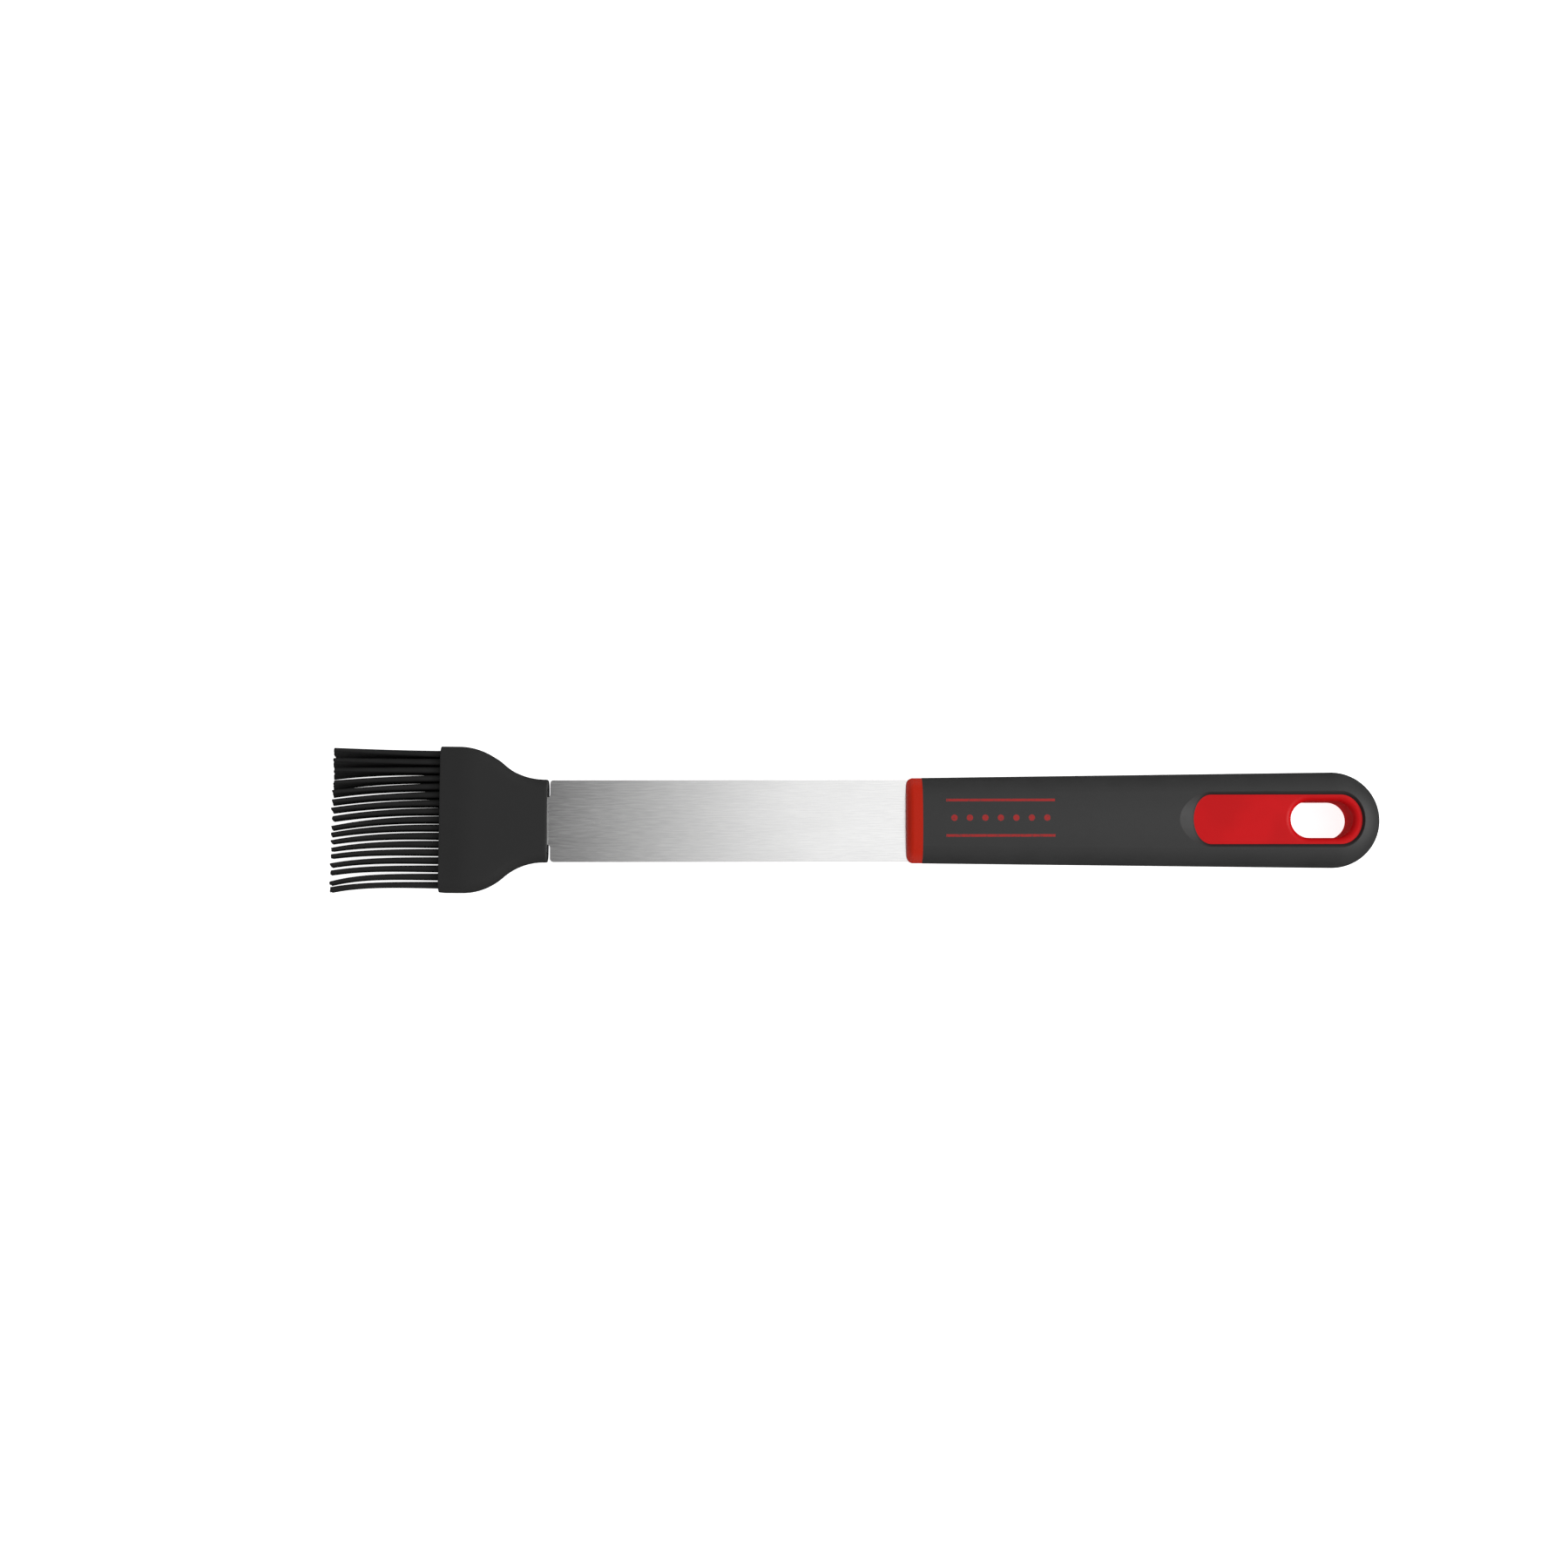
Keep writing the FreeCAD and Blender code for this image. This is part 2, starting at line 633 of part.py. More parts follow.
def export(pieces):
    """Writes each piece to a file of its own, named by its label."""
    os.makedirs("parts", exist_ok=True)
    for piece in pieces:
        shape = piece.Shape
        assert not shape.isNull() and shape.isValid(), piece.Label
        shape.exportStep(f"parts/{piece.Label}.step")
        box = shape.BoundBox
        print(
            f"{piece.Label}: {len(shape.Solids)} solids, {shape.Volume:.1f} mm3,"
            f" X {box.XMin:.2f} {box.XMax:.2f}, Y {box.YMin:.2f} {box.YMax:.2f},"
            f" Z {box.ZMin:.2f} {box.ZMax:.2f}"
        )


fill_sheet()
shaft = steel_shaft()
blank = core_blank()
pieces = [
    shaft,
    handle_core(blank, shaft),
    cut("grip_overmould", grip_blank(), blank),
    brush_boot(),
    socket_liner(),
    bristle_web(),
]
pieces += [bristle_row(number) for number in range(1, ROW_COUNT + 1)]
check_document()
export(pieces)
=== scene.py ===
import math
import random

import bpy
from mathutils import Matrix, Vector


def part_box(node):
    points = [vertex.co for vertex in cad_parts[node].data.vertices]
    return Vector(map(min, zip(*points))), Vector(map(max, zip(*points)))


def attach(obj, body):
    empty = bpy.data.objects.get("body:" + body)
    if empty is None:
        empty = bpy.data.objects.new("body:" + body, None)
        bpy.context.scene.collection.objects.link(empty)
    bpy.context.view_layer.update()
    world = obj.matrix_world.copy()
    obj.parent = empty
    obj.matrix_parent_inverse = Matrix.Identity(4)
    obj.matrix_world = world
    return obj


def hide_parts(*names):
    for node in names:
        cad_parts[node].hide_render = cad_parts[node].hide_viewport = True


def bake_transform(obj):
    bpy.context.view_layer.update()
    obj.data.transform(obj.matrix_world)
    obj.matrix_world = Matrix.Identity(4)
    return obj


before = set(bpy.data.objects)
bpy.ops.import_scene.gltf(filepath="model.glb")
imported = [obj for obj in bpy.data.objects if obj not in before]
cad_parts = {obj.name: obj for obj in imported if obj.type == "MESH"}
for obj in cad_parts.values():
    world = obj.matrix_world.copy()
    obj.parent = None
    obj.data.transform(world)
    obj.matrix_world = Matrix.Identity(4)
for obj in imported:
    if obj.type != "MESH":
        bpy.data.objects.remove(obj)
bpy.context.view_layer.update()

# Looks of a long silicone basting brush that lies flat. Everything is in metres in the row
# frame: X from the bristle tips to the hanging hole, Y across, Z up.

rng = random.Random(7)

MM = 0.001
BOOT_LOW, BOOT_HIGH = (Vector(corner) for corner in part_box("brush_boot"))
MOUTH = BOOT_LOW.x
REAR = BOOT_HIGH.x
MIDDLE = (BOOT_LOW.z + BOOT_HIGH.z) / 2
ROWS = 4
BRISTLES = 17
BRISTLE_PITCH = 2.87 * MM
BRISTLE_SIDES = 16
ROOT_RADIUS = 1.12 * MM
ROOT_FLARE = 0.28 * MM
TIP_RADIUS = 0.64 * MM
TIP_ROUNDING = 0.12 * MM
WEB_RECESS = 1.17 * MM

# Boot, with its levels as half widths and half heights, and distances behind its mouth.
BOOT_LENGTH = REAR - MOUTH
BOOT_WALL = 1.1 * MM
BOOT_ROUNDING = 3.4 * MM
MOUTH_HALF_WIDTH = 25.6 * MM
MOUTH_HALF_HEIGHT = 9.5 * MM
REAR_HALF_WIDTH = 14.6 * MM
REAR_HALF_HEIGHT = 4.7 * MM
SHOULDER_START = 6.4 * MM
SHOULDER_RUN = 29.2 * MM
SLOPE_START = 6.0 * MM
SLOPE_BEND = 40.0 * MM
POCKET_DEPTH = 6.1 * MM
LIP = 0.28 * MM
REAR_EDGE = 0.45 * MM
LINER_HALF_WIDTH = 11.0 * MM
LINER_HALF_HEIGHT = 3.0 * MM

# Inlay in the grip: where its straight middle starts and ends, and its two oval ends.
INLAY_NEAR = 123.9 * MM
INLAY_FAR = 169.3 * MM
INLAY_NEAR_END = 6.1 * MM
INLAY_FAR_END = 7.5 * MM
INLAY_WIDTH = 17.3 * MM

# Print on the grip.
MARK_X = 50.2 * MM
MARK_Y = 0.6 * MM
MARK_LENGTH = 38.0 * MM
LINE_SPACING = 12.4 * MM
LINE_WIDTH = 0.9 * MM
DOT_PITCH = 5.4 * MM
DOT_RADIUS = 1.1 * MM

# The soft head sits a little askew on its tongue: it is turned about the boot's rear.
HEAD_TURN = math.radians(-0.6)
HEAD_PIVOT = Vector((REAR, 0, MIDDLE))


# ---------------------------------------------------------------- mesh helpers

def new_piece(name, points, faces, body, material, smooth=True):
    """Mesh object from points and faces, riding on a body of the frame."""
    mesh = bpy.data.meshes.new(name)
    mesh.from_pydata([tuple(point) for point in points], [], faces)
    mesh.validate()
    mesh.update()
    if smooth:
        mesh.shade_smooth()
    else:
        mesh.shade_flat()
    piece = bpy.data.objects.new(name, mesh)
    bpy.context.scene.collection.objects.link(piece)
    mesh.materials.append(material)
    if body:
        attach(piece, body)
    return piece


def bridge(first, count):
    """Faces between a ring of points that starts at an index and the next ring."""
    return [
        (first + i, first + (i + 1) % count, first + count + (i + 1) % count, first + count + i)
        for i in range(count)
    ]


def askew(point):
    """Place of a point of the head once the head is turned on its tongue."""
    return HEAD_PIVOT + Matrix.Rotation(HEAD_TURN, 3, "Z") @ (Vector(point) - HEAD_PIVOT)


# ---------------------------------------------------------------- node helpers

def add(tree, kind, inputs=None, **settings):
    """Shader node with settings, and inputs that are numbers or other nodes' outputs."""
    node = tree.nodes.new("ShaderNode" + kind)
    for name, setting in settings.items():
        setattr(node, name, setting)
    for key, given in (inputs or {}).items():
        if isinstance(given, bpy.types.NodeSocket):
            tree.links.new(given, node.inputs[key])
        else:
            node.inputs[key].default_value = given
    return node


def maths(tree, operation, *terms):
    """Result of one Math node."""
    return add(tree, "Math", dict(enumerate(terms)), operation=operation).outputs[0]


def spread(tree, value, low, high, from_low=0.0, from_high=1.0):
    """Value moved from one range to another, held within it."""
    inputs = {0: value, 1: from_low, 2: from_high, 3: low, 4: high}
    return add(tree, "MapRange", inputs).outputs[0]


def place(tree, scale=(1, 1, 1)):
    """The piece's own coordinates in metres, times a scale."""
    where = add(tree, "TexCoord").outputs["Object"]
    return add(tree, "Mapping", {"Vector": where, "Scale": scale}).outputs[0]


def noise(tree, vector, scale, detail=2.0, roughness=0.5):
    """Noise between 0 and 1 with a number of features per metre."""
    inputs = {"Vector": vector, "Scale": scale, "Detail": detail, "Roughness": roughness}
    return add(tree, "TexNoise", inputs).outputs["Fac"]


def mix(tree, share, first, second):
    """Colour between two colours."""
    inputs = {0: share, 6: first, 7: second}
    return add(tree, "Mix", inputs, data_type="RGBA").outputs[2]


def bump(tree, height, distance):
    """Normal bent by a height between 0 and 1, for a depth in metres."""
    inputs = {"Height": height, "Distance": distance, "Strength": 1.0}
    return add(tree, "Bump", inputs).outputs[0]


def new_material(name):
    """Material with an empty tree and an output."""
    material = bpy.data.materials.new(name)
    material.use_nodes = True
    material.node_tree.nodes.clear()
    return material, material.node_tree


def principled(tree, **inputs):
    """Principled shader on the tree's output, with inputs named by words with underscores."""
    named = {key.replace("_", " "): given for key, given in inputs.items()}
    shader = add(tree, "BsdfPrincipled", named)
    output = add(tree, "OutputMaterial")
    tree.links.new(shader.outputs[0], output.inputs["Surface"])


# ---------------------------------------------------------------- materials

def brushed_steel():
    """Stainless strip, brushed along X: short fine dashes, and highlights stretched across them."""
    material, tree = new_material("brushed_steel")
    dashes = noise(tree, place(tree, (200, 2300, 2300)), 1.0, 2.0, 0.5)
    hairs = noise(tree, place(tree, (90, 5200, 5200)), 1.0, 2.0, 0.6)
    cloud = noise(tree, place(tree, (30, 70, 70)), 1.0, 3.0, 0.55)
    brushing = maths(tree, "ADD", maths(tree, "MULTIPLY", dashes, 0.6),
                     maths(tree, "MULTIPLY", hairs, 0.4))
    tint = mix(tree, spread(tree, brushing, 0, 1, 0.40, 0.62),
               (0.80, 0.80, 0.80, 1), (0.89, 0.89, 0.885, 1))
    crosswise = add(tree, "VectorTransform", {"Vector": (0, 1, 0)}, vector_type="VECTOR",
                    convert_from="OBJECT", convert_to="WORLD").outputs[0]
    rough = maths(tree, "ADD", spread(tree, brushing, -0.03, 0.03, 0.35, 0.65),
                  spread(tree, cloud, 0.19, 0.25, 0.3, 0.7))
    principled(
        tree,
        Base_Color=tint,
        Metallic=1.0,
        Roughness=rough,
        Anisotropic=0.85,
        Tangent=crosswise,
        Normal=bump(tree, brushing, 0.0008 * MM),
    )
    return material


def red_plastic():
    """Hard red polypropylene with a faint moulded texture, a shade browner at the collar."""
    material, tree = new_material("red_plastic")
    where = place(tree)
    x = add(tree, "SeparateXYZ", {0: where}).outputs[0]
    cloud = noise(tree, where, 60, 3.0, 0.5)
    grain = noise(tree, where, 1800, 2.0, 0.6)
    clean = mix(tree, spread(tree, cloud, 0, 1, 0.35, 0.65),
                (0.51, 0.003, 0.005, 1), (0.57, 0.0035, 0.006, 1))
    at_collar = spread(tree, x, 1, 0, 30 * MM, 60 * MM)
    principled(
        tree,
        Base_Color=mix(tree, at_collar, clean, (0.47, 0.0155, 0.004, 1)),
        Roughness=spread(tree, grain, 0.36, 0.46, 0.3, 0.7),
        Specular_IOR_Level=0.12,
        Normal=bump(tree, grain, 0.01 * MM),
    )
    return material


def printed_mark(tree, x, y, z):
    """Share of ink at a place: two thin lines and a row of dots between them, on the upper face."""
    across = maths(tree, "SUBTRACT", y, MARK_Y)
    along = maths(tree, "SUBTRACT", x, MARK_X)
    within = maths(tree, "LESS_THAN", maths(tree, "ABSOLUTE", along), MARK_LENGTH / 2)
    from_line = maths(tree, "ABSOLUTE", maths(tree, "SUBTRACT", maths(tree, "ABSOLUTE", across),
                                              LINE_SPACING / 2))
    line = spread(tree, from_line, 1, 0, LINE_WIDTH / 2 - 0.05 * MM, LINE_WIDTH / 2 + 0.05 * MM)
    from_dot = maths(tree, "WRAP", along, DOT_PITCH / 2, -DOT_PITCH / 2)
    away = maths(tree, "SQRT", maths(tree, "ADD", maths(tree, "POWER", from_dot, 2),
                                     maths(tree, "POWER", across, 2)))
    dot = spread(tree, away, 1, 0, DOT_RADIUS - 0.05 * MM, DOT_RADIUS + 0.05 * MM)
    on_top = maths(tree, "GREATER_THAN", z, MIDDLE)
    ink = maths(tree, "MULTIPLY", maths(tree, "MAXIMUM", line, dot), within)
    return maths(tree, "MULTIPLY", ink, on_top)


def painted_seam_shade(tree, x, y):
    """Share of painted shade at a place, the shadow that falls in the seam around the inlay: most
    right beside the inlay, none a millimetre away.
    """
    before = maths(tree, "MAXIMUM", maths(tree, "SUBTRACT", INLAY_NEAR, x), 0.0)
    beyond = maths(tree, "MAXIMUM", maths(tree, "SUBTRACT", x, INLAY_FAR), 0.0)
    along = maths(tree, "ADD", maths(tree, "DIVIDE", before, INLAY_NEAR_END),
                  maths(tree, "DIVIDE", beyond, INLAY_FAR_END))
    across = maths(tree, "DIVIDE", y, INLAY_WIDTH / 2)
    away = maths(tree, "SQRT", maths(tree, "ADD", maths(tree, "POWER", along, 2),
                                     maths(tree, "POWER", across, 2)))
    return spread(tree, away, 1, 0, 1.0, 1.12)


def soft_grip():
    """Dark grey soft-touch rubber with a fine matt texture, a print in worn red ink, and painted
    shade in the seam around the inlay.
    """
    material, tree = new_material("soft_grip")
    where = place(tree)
    parts = add(tree, "SeparateXYZ", {0: where}).outputs
    cloud = noise(tree, where, 90, 4.0, 0.6)
    grain = noise(tree, where, 2600, 2.0, 0.6)
    rubber = mix(tree, spread(tree, cloud, 0, 1, 0.3, 0.7),
                 (0.024, 0.024, 0.024, 1), (0.028, 0.028, 0.028, 1))
    # Painted shade: the rubber is darkened to near black in the seam around the inlay, standing in
    # for the shadow there.
    seam_shaded_rubber = mix(tree, painted_seam_shade(tree, parts[0], parts[1]), rubber, (0.004, 0.004, 0.004, 1))
    wear = spread(tree, noise(tree, where, 1400, 3.0, 0.6), 0.45, 1.0, 0.36, 0.46)
    ink = maths(tree, "MULTIPLY", printed_mark(tree, *parts), wear)
    principled(
        tree,
        Base_Color=mix(tree, ink, seam_shaded_rubber, (0.34, 0.012, 0.012, 1)),
        Roughness=spread(tree, cloud, 0.52, 0.62, 0.3, 0.7),
        Specular_IOR_Level=0.35,
        Normal=bump(tree, grain, 0.018 * MM),
    )
    return material


def silicone(name, dark, light, grain_size):
    """Black silicone, softer and duller than the grip."""
    material, tree = new_material(name)
    where = place(tree)
    cloud = noise(tree, where, 140, 4.0, 0.55)
    grain = noise(tree, where, grain_size, 2.0, 0.55)
    colour = mix(tree, spread(tree, cloud, 0, 1, 0.3, 0.7), (*dark, 1), (*light, 1))
    principled(
        tree,
        Base_Color=colour,
        Roughness=spread(tree, cloud, 0.60, 0.70, 0.3, 0.7),
        Specular_IOR_Level=0.15,
        Normal=bump(tree, grain, 0.012 * MM),
    )
    return material


def liner_plastic():
    """Black glass-filled nylon of the socket liner."""
    material, tree = new_material("liner_plastic")
    grain = noise(tree, place(tree), 2200, 3.0, 0.6)
    principled(
        tree,
        Base_Color=mix(tree, grain, (0.018, 0.018, 0.018, 1), (0.028, 0.028, 0.028, 1)),
        Roughness=spread(tree, grain, 0.35, 0.5, 0.3, 0.7),
        Normal=bump(tree, grain, 0.015 * MM),
    )
    return material


def dress(node, material):
    """Gives a CAD node's object a material."""
    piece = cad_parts[node]
    piece.data.materials.clear()
    piece.data.materials.append(material)


# ---------------------------------------------------------------- boot and web

def s_curve(x, start, run, high, low):
    """Level at x of two equal tangent arcs that lead from a high level to a low one."""
    drop = high - low
    turn = 2 * math.atan(drop / run)
    radius = run / math.sin(turn) / 2
    along = min(max(x - start, 0), run)
    if along < run / 2:
        return high - radius + math.sqrt(radius ** 2 - along ** 2)
    return low + radius - math.sqrt(radius ** 2 - (run - along) ** 2)


def boot_half_width(x):
    """Half the boot's width at a distance behind its mouth."""
    return s_curve(x, SHOULDER_START, SHOULDER_RUN, MOUTH_HALF_WIDTH, REAR_HALF_WIDTH)


def boot_half_height(x):
    """Half the boot's thickness at a distance behind its mouth: flat, a gentle bend, a slope."""
    to_rear = Vector((BOOT_LENGTH - SLOPE_START, REAR_HALF_HEIGHT - MOUTH_HALF_HEIGHT + SLOPE_BEND))
    steepness = math.atan2(to_rear.x, to_rear.y) - math.acos(SLOPE_BEND / to_rear.length)
    along = max(x - SLOPE_START, 0)
    if along < SLOPE_BEND * math.sin(steepness):
        return MOUTH_HALF_HEIGHT - SLOPE_BEND + math.sqrt(SLOPE_BEND ** 2 - along ** 2)
    return REAR_HALF_HEIGHT + (BOOT_LENGTH - x) * math.tan(steepness)


def rounded_ring(x, half_width, half_height, rounding):
    """Ring of points in the plane at x: a rectangle with round corners, evenly divided."""
    corner_steps, side_steps = 8, 10
    rounding = min(rounding, half_height * 0.98)
    ring = []
    corners = ((1, 1, 0), (-1, 1, 90), (-1, -1, 180), (1, -1, 270))
    for index, (right, up, start) in enumerate(corners):
        centre = Vector((right * (half_width - rounding), up * (half_height - rounding)))
        arc = []
        for step in range(corner_steps + 1):
            angle = math.radians(start + 90 * step / corner_steps)
            arc.append(centre + rounding * Vector((math.cos(angle), math.sin(angle))))
        ring += arc
        right, up, start = corners[(index + 1) % 4]
        centre = Vector((right * (half_width - rounding), up * (half_height - rounding)))
        angle = math.radians(start)
        after = centre + rounding * Vector((math.cos(angle), math.sin(angle)))
        ring += [arc[-1].lerp(after, step / side_steps) for step in range(1, side_steps)]
    return [askew((MOUTH + x, point.x, MIDDLE + point.y)) for point in ring]


def closed_tube(rings):
    """Points and faces of a tube through rings of equal length, closed at both ends."""
    count = len(rings[0])
    points = [point for ring in rings for point in ring]
    faces = []
    for index in range(len(rings) - 1):
        faces += bridge(index * count, count)
    faces.append(tuple(reversed(range(count))))
    faces.append(tuple(range(len(points) - count, len(points))))
    return points, faces


def boot_ring(x, inset):
    """Ring of the boot's outside at a distance behind its mouth, or inside it by an inset."""
    return rounded_ring(x, boot_half_width(x) - inset, boot_half_height(x) - inset,
                        BOOT_ROUNDING - inset)


def pocket_rings():
    """The pocket at the mouth, from its bottom out to the lip."""
    rings = []
    for depth in (POCKET_DEPTH, 3.0 * MM, 1.0 * MM, LIP):
        rings.append(rounded_ring(depth, MOUTH_HALF_WIDTH - BOOT_WALL,
                                  MOUTH_HALF_HEIGHT - BOOT_WALL, BOOT_ROUNDING - BOOT_WALL))
    return rings


def lip_rings():
    """The soft lip around the mouth, from the pocket over to the outside."""
    steps = 3
    rings = []
    for step in range(1, steps + 1):
        angle = math.radians(90 * step / steps)
        rings.append(boot_ring(LIP * (1 - math.sin(angle)),
                               BOOT_WALL - LIP * (1 - math.cos(angle))))
    for step in range(steps + 1):
        angle = math.radians(90 * step / steps)
        rings.append(boot_ring(LIP * (1 - math.cos(angle)), LIP * (1 - math.sin(angle))))
    return rings


def outside_rings():
    """The outside from the lip to the rounded edge at the rear."""
    long_steps, edge_steps = 60, 4
    rings = []
    for step in range(1, long_steps + 1):
        rings.append(boot_ring(LIP + (BOOT_LENGTH - REAR_EDGE - LIP) * step / long_steps, 0))
    for step in range(1, edge_steps + 1):
        angle = math.radians(90 * step / edge_steps)
        rings.append(boot_ring(BOOT_LENGTH - REAR_EDGE + REAR_EDGE * math.sin(angle),
                               REAR_EDGE * (1 - math.cos(angle))))
    return rings


def socket_rings():
    """The opening at the rear that the liner fills, from its chamfered edge inwards."""
    chamfer, depth = 0.5 * MM, 5.0 * MM
    return [
        rounded_ring(BOOT_LENGTH, LINER_HALF_WIDTH + chamfer, LINER_HALF_HEIGHT + chamfer,
                     0.6 * MM),
        rounded_ring(BOOT_LENGTH - 0.2 * MM, LINER_HALF_WIDTH, LINER_HALF_HEIGHT, 0.3 * MM),
        rounded_ring(BOOT_LENGTH - depth, LINER_HALF_WIDTH, LINER_HALF_HEIGHT, 0.3 * MM),
    ]


def make_boot(material):
    """Silicone boot: pocket at the mouth, soft lip, S-shaped shoulder and a socketed rear."""
    points, faces = closed_tube(pocket_rings() + lip_rings() + outside_rings() + socket_rings())
    piece = new_piece("silicone_boot", points, faces, "head", material)
    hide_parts("brush_boot")


def make_web(material):
    """Web between the bristles' roots, just inside the boot's mouth."""
    clearance = 0.03 * MM
    half_width = MOUTH_HALF_WIDTH - BOOT_WALL - clearance
    half_height = MOUTH_HALF_HEIGHT - BOOT_WALL - clearance
    corner, least_corner = BOOT_ROUNDING - BOOT_WALL, 0.5 * MM
    rings = []
    for x, inset in ((WEB_RECESS, 6.0 * MM), (WEB_RECESS, 0.5 * MM), (WEB_RECESS - 0.3 * MM, 0),
                     (POCKET_DEPTH - 0.1 * MM, 0)):
        rings.append(rounded_ring(x, half_width - inset, half_height - inset,
                                  max(corner - inset, least_corner)))
    points, faces = closed_tube(rings)
    piece = new_piece("root_web", points, faces, "head", material)
    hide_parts("bristle_web")


# ---------------------------------------------------------------- bristles

# Sideways bend of the tips in millimetres, towards -Y, at every other bristle from the +Y end:
# that of the top row, and how much more the lowest row bends, so that the rows fan out.
TIP_BENDS = (-1.1, 0.2, 2.7, 2.4, 3.0, 2.4, 2.0, 1.6, 2.4)
LOW_ROW_BENDS = (1.8, 2.2, 1.0, 0.3, 0.1, 0.1, 0.1, 0.2, 0.7)
# Both bends start early at the +Y end and late at the other: powers of the distance from the
# root, at five places.
BEND_POWERS = (1.4, 1.7, 2.3, 3.3, 4.0)
LOW_ROW_POWERS = (1.8, 3.5, 3.5, 3.5, 3.5)

# The tips are cut along a slant: the lowest row, and each row's -Y end, reach the furthest.
ROW_SLANT = 2.0 * MM
SIDE_SLANT = 0.2 * MM
LONGEST = 40.2 * MM
# Bristles whose tips cling to the next one's, counted from the +Y end.
CLINGING = (3, 15)
CLING = 0.4 * MM
# Every bristle's own share of stray bend, the same in all rows.
STRAY_BENDS = [rng.gauss(0, 0.2 * MM) for number in range(BRISTLES)]


def between(values, share):
    """Smooth value at a share of the way along evenly spaced values."""
    position = share * (len(values) - 1)
    index = min(int(position), len(values) - 2)
    step = position - index
    step = step * step * (3 - 2 * step)
    return values[index] * (1 - step) + values[index + 1] * step


class Bristle:
    """One bristle: its bent middle line, its taper, and how its tip is cut."""

    def __init__(self, row, number):
        across = number / (BRISTLES - 1)
        depth = (ROWS - 1 - row) / (ROWS - 1)
        low, high = (Vector(corner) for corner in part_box(f"bristle_row_{row + 1}"))
        self.root = Vector((MOUTH, ((BRISTLES - 1) / 2 - number) * BRISTLE_PITCH,
                            (low.z + high.z) / 2))
        self.length = LONGEST - (1 - depth) * ROW_SLANT - (1 - across) * SIDE_SLANT
        self.length -= abs(rng.gauss(0, 0.2 * MM))
        self.bend = between(TIP_BENDS, across) * MM + STRAY_BENDS[number] + rng.gauss(0, 0.07 * MM)
        self.bend += CLING * ((number in CLINGING) - (number - 1 in CLINGING))
        self.bend_power = between(BEND_POWERS, across)
        self.fan = depth * between(LOW_ROW_BENDS, across) * MM
        self.fan_power = between(LOW_ROW_POWERS, across)
        self.lift = rng.gauss(0, 0.2 * MM)
        self.slant_side = rng.uniform(-0.4, 0.4)
        self.slant_up = rng.uniform(-0.3, 0.3)

    def centre(self, distance):
        """Point of the middle line at a distance from the mouth."""
        share = max(distance, 0) / self.length
        sideways = self.bend * share ** self.bend_power + self.fan * share ** self.fan_power
        return self.root + Vector((-distance, -sideways, self.lift * share ** 2))

    def radius(self, distance):
        """Thickness there: a taper that flares out to the web at the root."""
        share = min(max(distance, 0) / self.length, 1)
        flare = ROOT_FLARE * math.exp(-(distance + WEB_RECESS) / (0.5 * MM))
        return ROOT_RADIUS + (TIP_RADIUS - ROOT_RADIUS) * share + flare

    def ring(self, distance, size, slant):
        """Ring of points around the middle line, slanted by a share of the tip's slant."""
        here = self.centre(distance)
        ahead, behind = self.centre(distance + 0.1 * MM), self.centre(distance - 0.1 * MM)
        along = (ahead - behind).normalized()
        side = Vector((0, 0, 1)).cross(along).normalized()
        up = along.cross(side)
        points = []
        for step in range(BRISTLE_SIDES):
            angle = 2 * math.pi * step / BRISTLE_SIDES
            cosine, sine = math.cos(angle), math.sin(angle)
            shift = slant * size * (self.slant_side * cosine + self.slant_up * sine)
            points.append(askew(here + size * (cosine * side + sine * up) + shift * along))
        return points

    def mesh(self):
        """Points and faces from the web to the tip."""
        steps, slant_share = 30, 0.2
        distances = [-WEB_RECESS - 0.2 * MM, -WEB_RECESS, -WEB_RECESS + 0.25 * MM, -0.4 * MM]
        distances += [self.length * step / steps for step in range(steps)]
        rings = []
        for distance in distances:
            slant = max(0, distance / self.length - 1 + slant_share) / slant_share
            rings.append(self.ring(distance, self.radius(distance), slant))
        for back, inward in ((1, 0), (0.3, 0.3), (0, 1)):
            rings.append(self.ring(self.length - TIP_ROUNDING * back,
                                   TIP_RADIUS - TIP_ROUNDING * inward, 1))
        return closed_tube(rings)


def make_bristle_row(row, material):
    """One row of bristles as one piece, in place of the row's CAD part."""
    points, faces = [], []
    for number in range(BRISTLES):
        more_points, more_faces = Bristle(row, number).mesh()
        start = len(points)
        points += more_points
        faces += [tuple(start + index for index in face) for face in more_faces]
    body = f"bristle_row_{row + 1}"
    piece = new_piece(f"bristles_{row + 1}", points, faces, None, material)
    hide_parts(body)
    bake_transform(piece)


# ---------------------------------------------------------------- stage

def make_floor():
    """Plain pale floor, a little bright of its own so that its shadows stay soft."""
    material, tree = new_material("pale_floor")
    grain = noise(tree, place(tree), 300, 2.0, 0.5)
    principled(
        tree,
        Base_Color=mix(tree, grain, (0.86, 0.86, 0.86, 1), (0.88, 0.88, 0.88, 1)),
        Roughness=0.8,
        Emission_Color=(1, 1, 1, 1),
        Emission_Strength=0.85,
    )
    size, drop = 3.0, 0.05 * MM
    corners = [(-size, -size, 0), (size, -size, 0), (size, size, 0), (-size, size, 0)]
    floor = new_piece("floor", corners, [(0, 1, 2, 3)], None, material, smooth=False)
    floor.location.z = -drop
    floor.visible_glossy = False


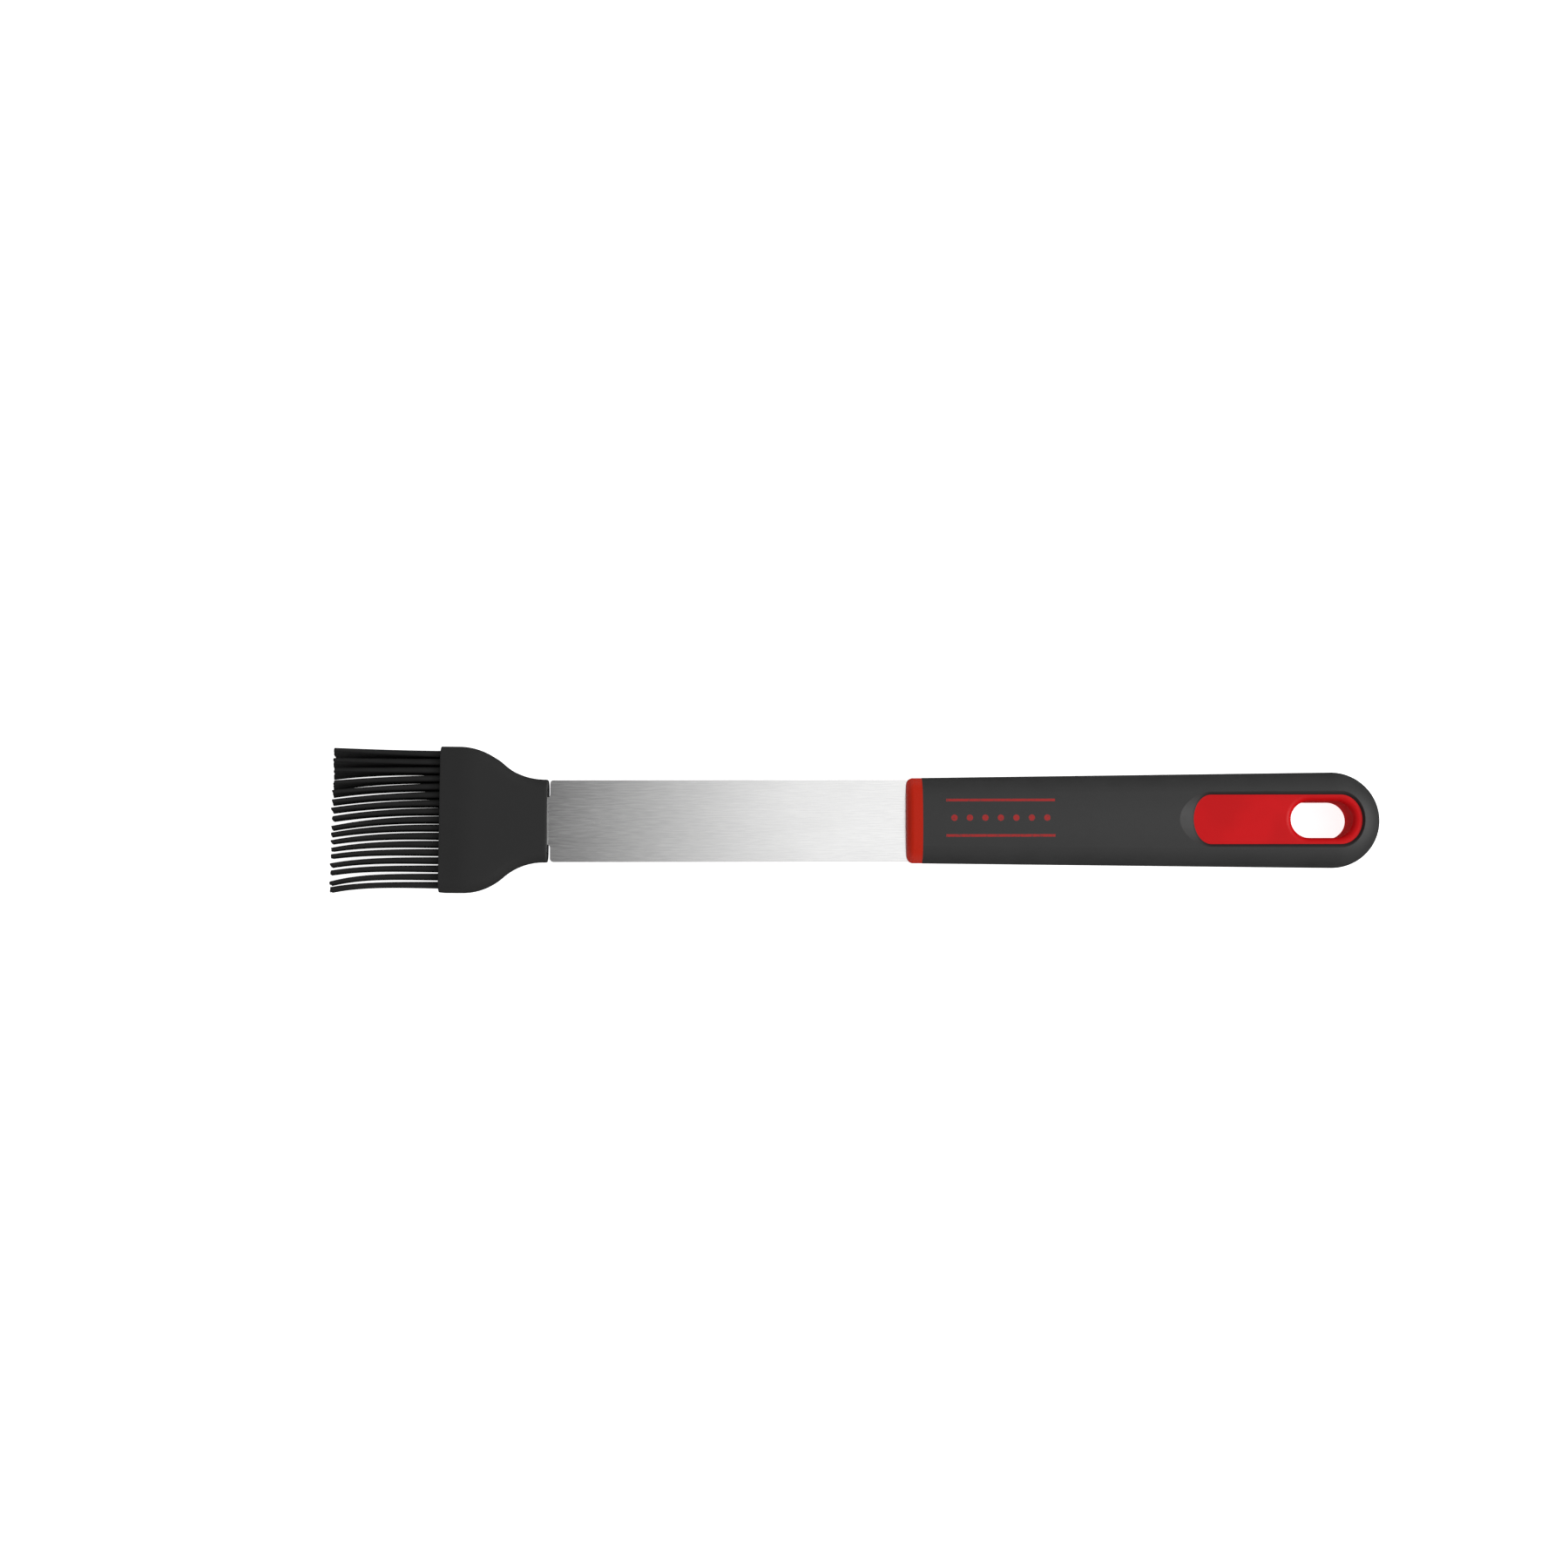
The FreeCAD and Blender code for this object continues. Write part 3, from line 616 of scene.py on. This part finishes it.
def make_world():
    """Soft surroundings: bright overhead but for one dim stretch, a little to the -X side, and
    an even grey around the horizon. Seen directly, they are plain white."""
    world = bpy.data.worlds.new("surroundings")
    bpy.context.scene.world = world
    world.use_nodes = True
    tree = world.node_tree
    tree.nodes.clear()
    direction = add(tree, "TexCoord").outputs["Generated"]
    parts = add(tree, "SeparateXYZ", {0: direction})
    along, upward = parts.outputs[0], parts.outputs[2]
    dim, bright, far_left, around, below = 0.0, 1.09, 0.65, 0.42, 0.012
    right = spread(tree, along, dim, bright, -0.124, 0.010)
    left = spread(tree, along, far_left, dim, -0.55, -0.20)
    overhead = maths(tree, "MAXIMUM", right, left)
    above = spread(tree, upward, around, overhead, 0.40, 0.75)
    strength = spread(tree, upward, below, above, -0.05, 0.05)
    seen = add(tree, "LightPath").outputs["Is Camera Ray"]
    plain = mix(tree, seen, strength, (1, 1, 1, 1))
    background = add(tree, "Background", {"Color": plain, "Strength": 1.0})
    output = add(tree, "OutputWorld")
    tree.links.new(background.outputs[0], output.inputs["Surface"])


def add_softbox(name, where, target, size, power):
    """Square area light at a place, facing a target."""
    light = bpy.data.lights.new(name, "AREA")
    light.shape = "SQUARE"
    light.size = size
    light.energy = power
    lamp = bpy.data.objects.new(name, light)
    lamp.location = where
    lamp.rotation_euler = (Vector(target) - Vector(where)).to_track_quat("-Z", "Y").to_euler()
    bpy.context.scene.collection.objects.link(lamp)


def make_camera():
    """Camera almost straight above, leaning a little towards -Y, with the picture's top at +Y."""
    lens, sensor = 50.0, 36.0
    seen_width = 554 * MM
    aim = Vector((-25.5 * MM, 13.05 * MM, MIDDLE))
    lean, roll = math.radians(3.8), math.radians(-0.068)
    distance = seen_width * lens / sensor
    camera = bpy.data.cameras.new("camera")
    camera.lens = lens
    camera.sensor_width = sensor
    camera.clip_start = 0.01
    holder = bpy.data.objects.new("camera", camera)
    holder.location = aim + distance * Vector((0, -math.sin(lean), math.cos(lean)))
    holder.rotation_euler = (lean, 0, roll)
    bpy.context.scene.collection.objects.link(holder)
    bpy.context.scene.camera = holder


# ---------------------------------------------------------------- assembly

dress("steel_shaft", brushed_steel())
dress("handle_core", red_plastic())
dress("grip_overmould", soft_grip())
dress("socket_liner", liner_plastic())

boot_silicone = silicone("boot_silicone", (0.0205, 0.0205, 0.0205), (0.0225, 0.0225, 0.0225), 1500)
bristle_silicone = silicone("bristle_silicone", (0.013, 0.013, 0.013), (0.017, 0.017, 0.017), 2500)
make_boot(boot_silicone)
make_web(bristle_silicone)
for row in range(ROWS):
    make_bristle_row(row, bristle_silicone)

make_floor()
make_world()
add_softbox("key", where=(1.2, 0.0, 0.95), target=(0.1, 0, 0), size=0.6, power=12)
make_camera()
bpy.context.scene.view_settings.view_transform = "Standard"
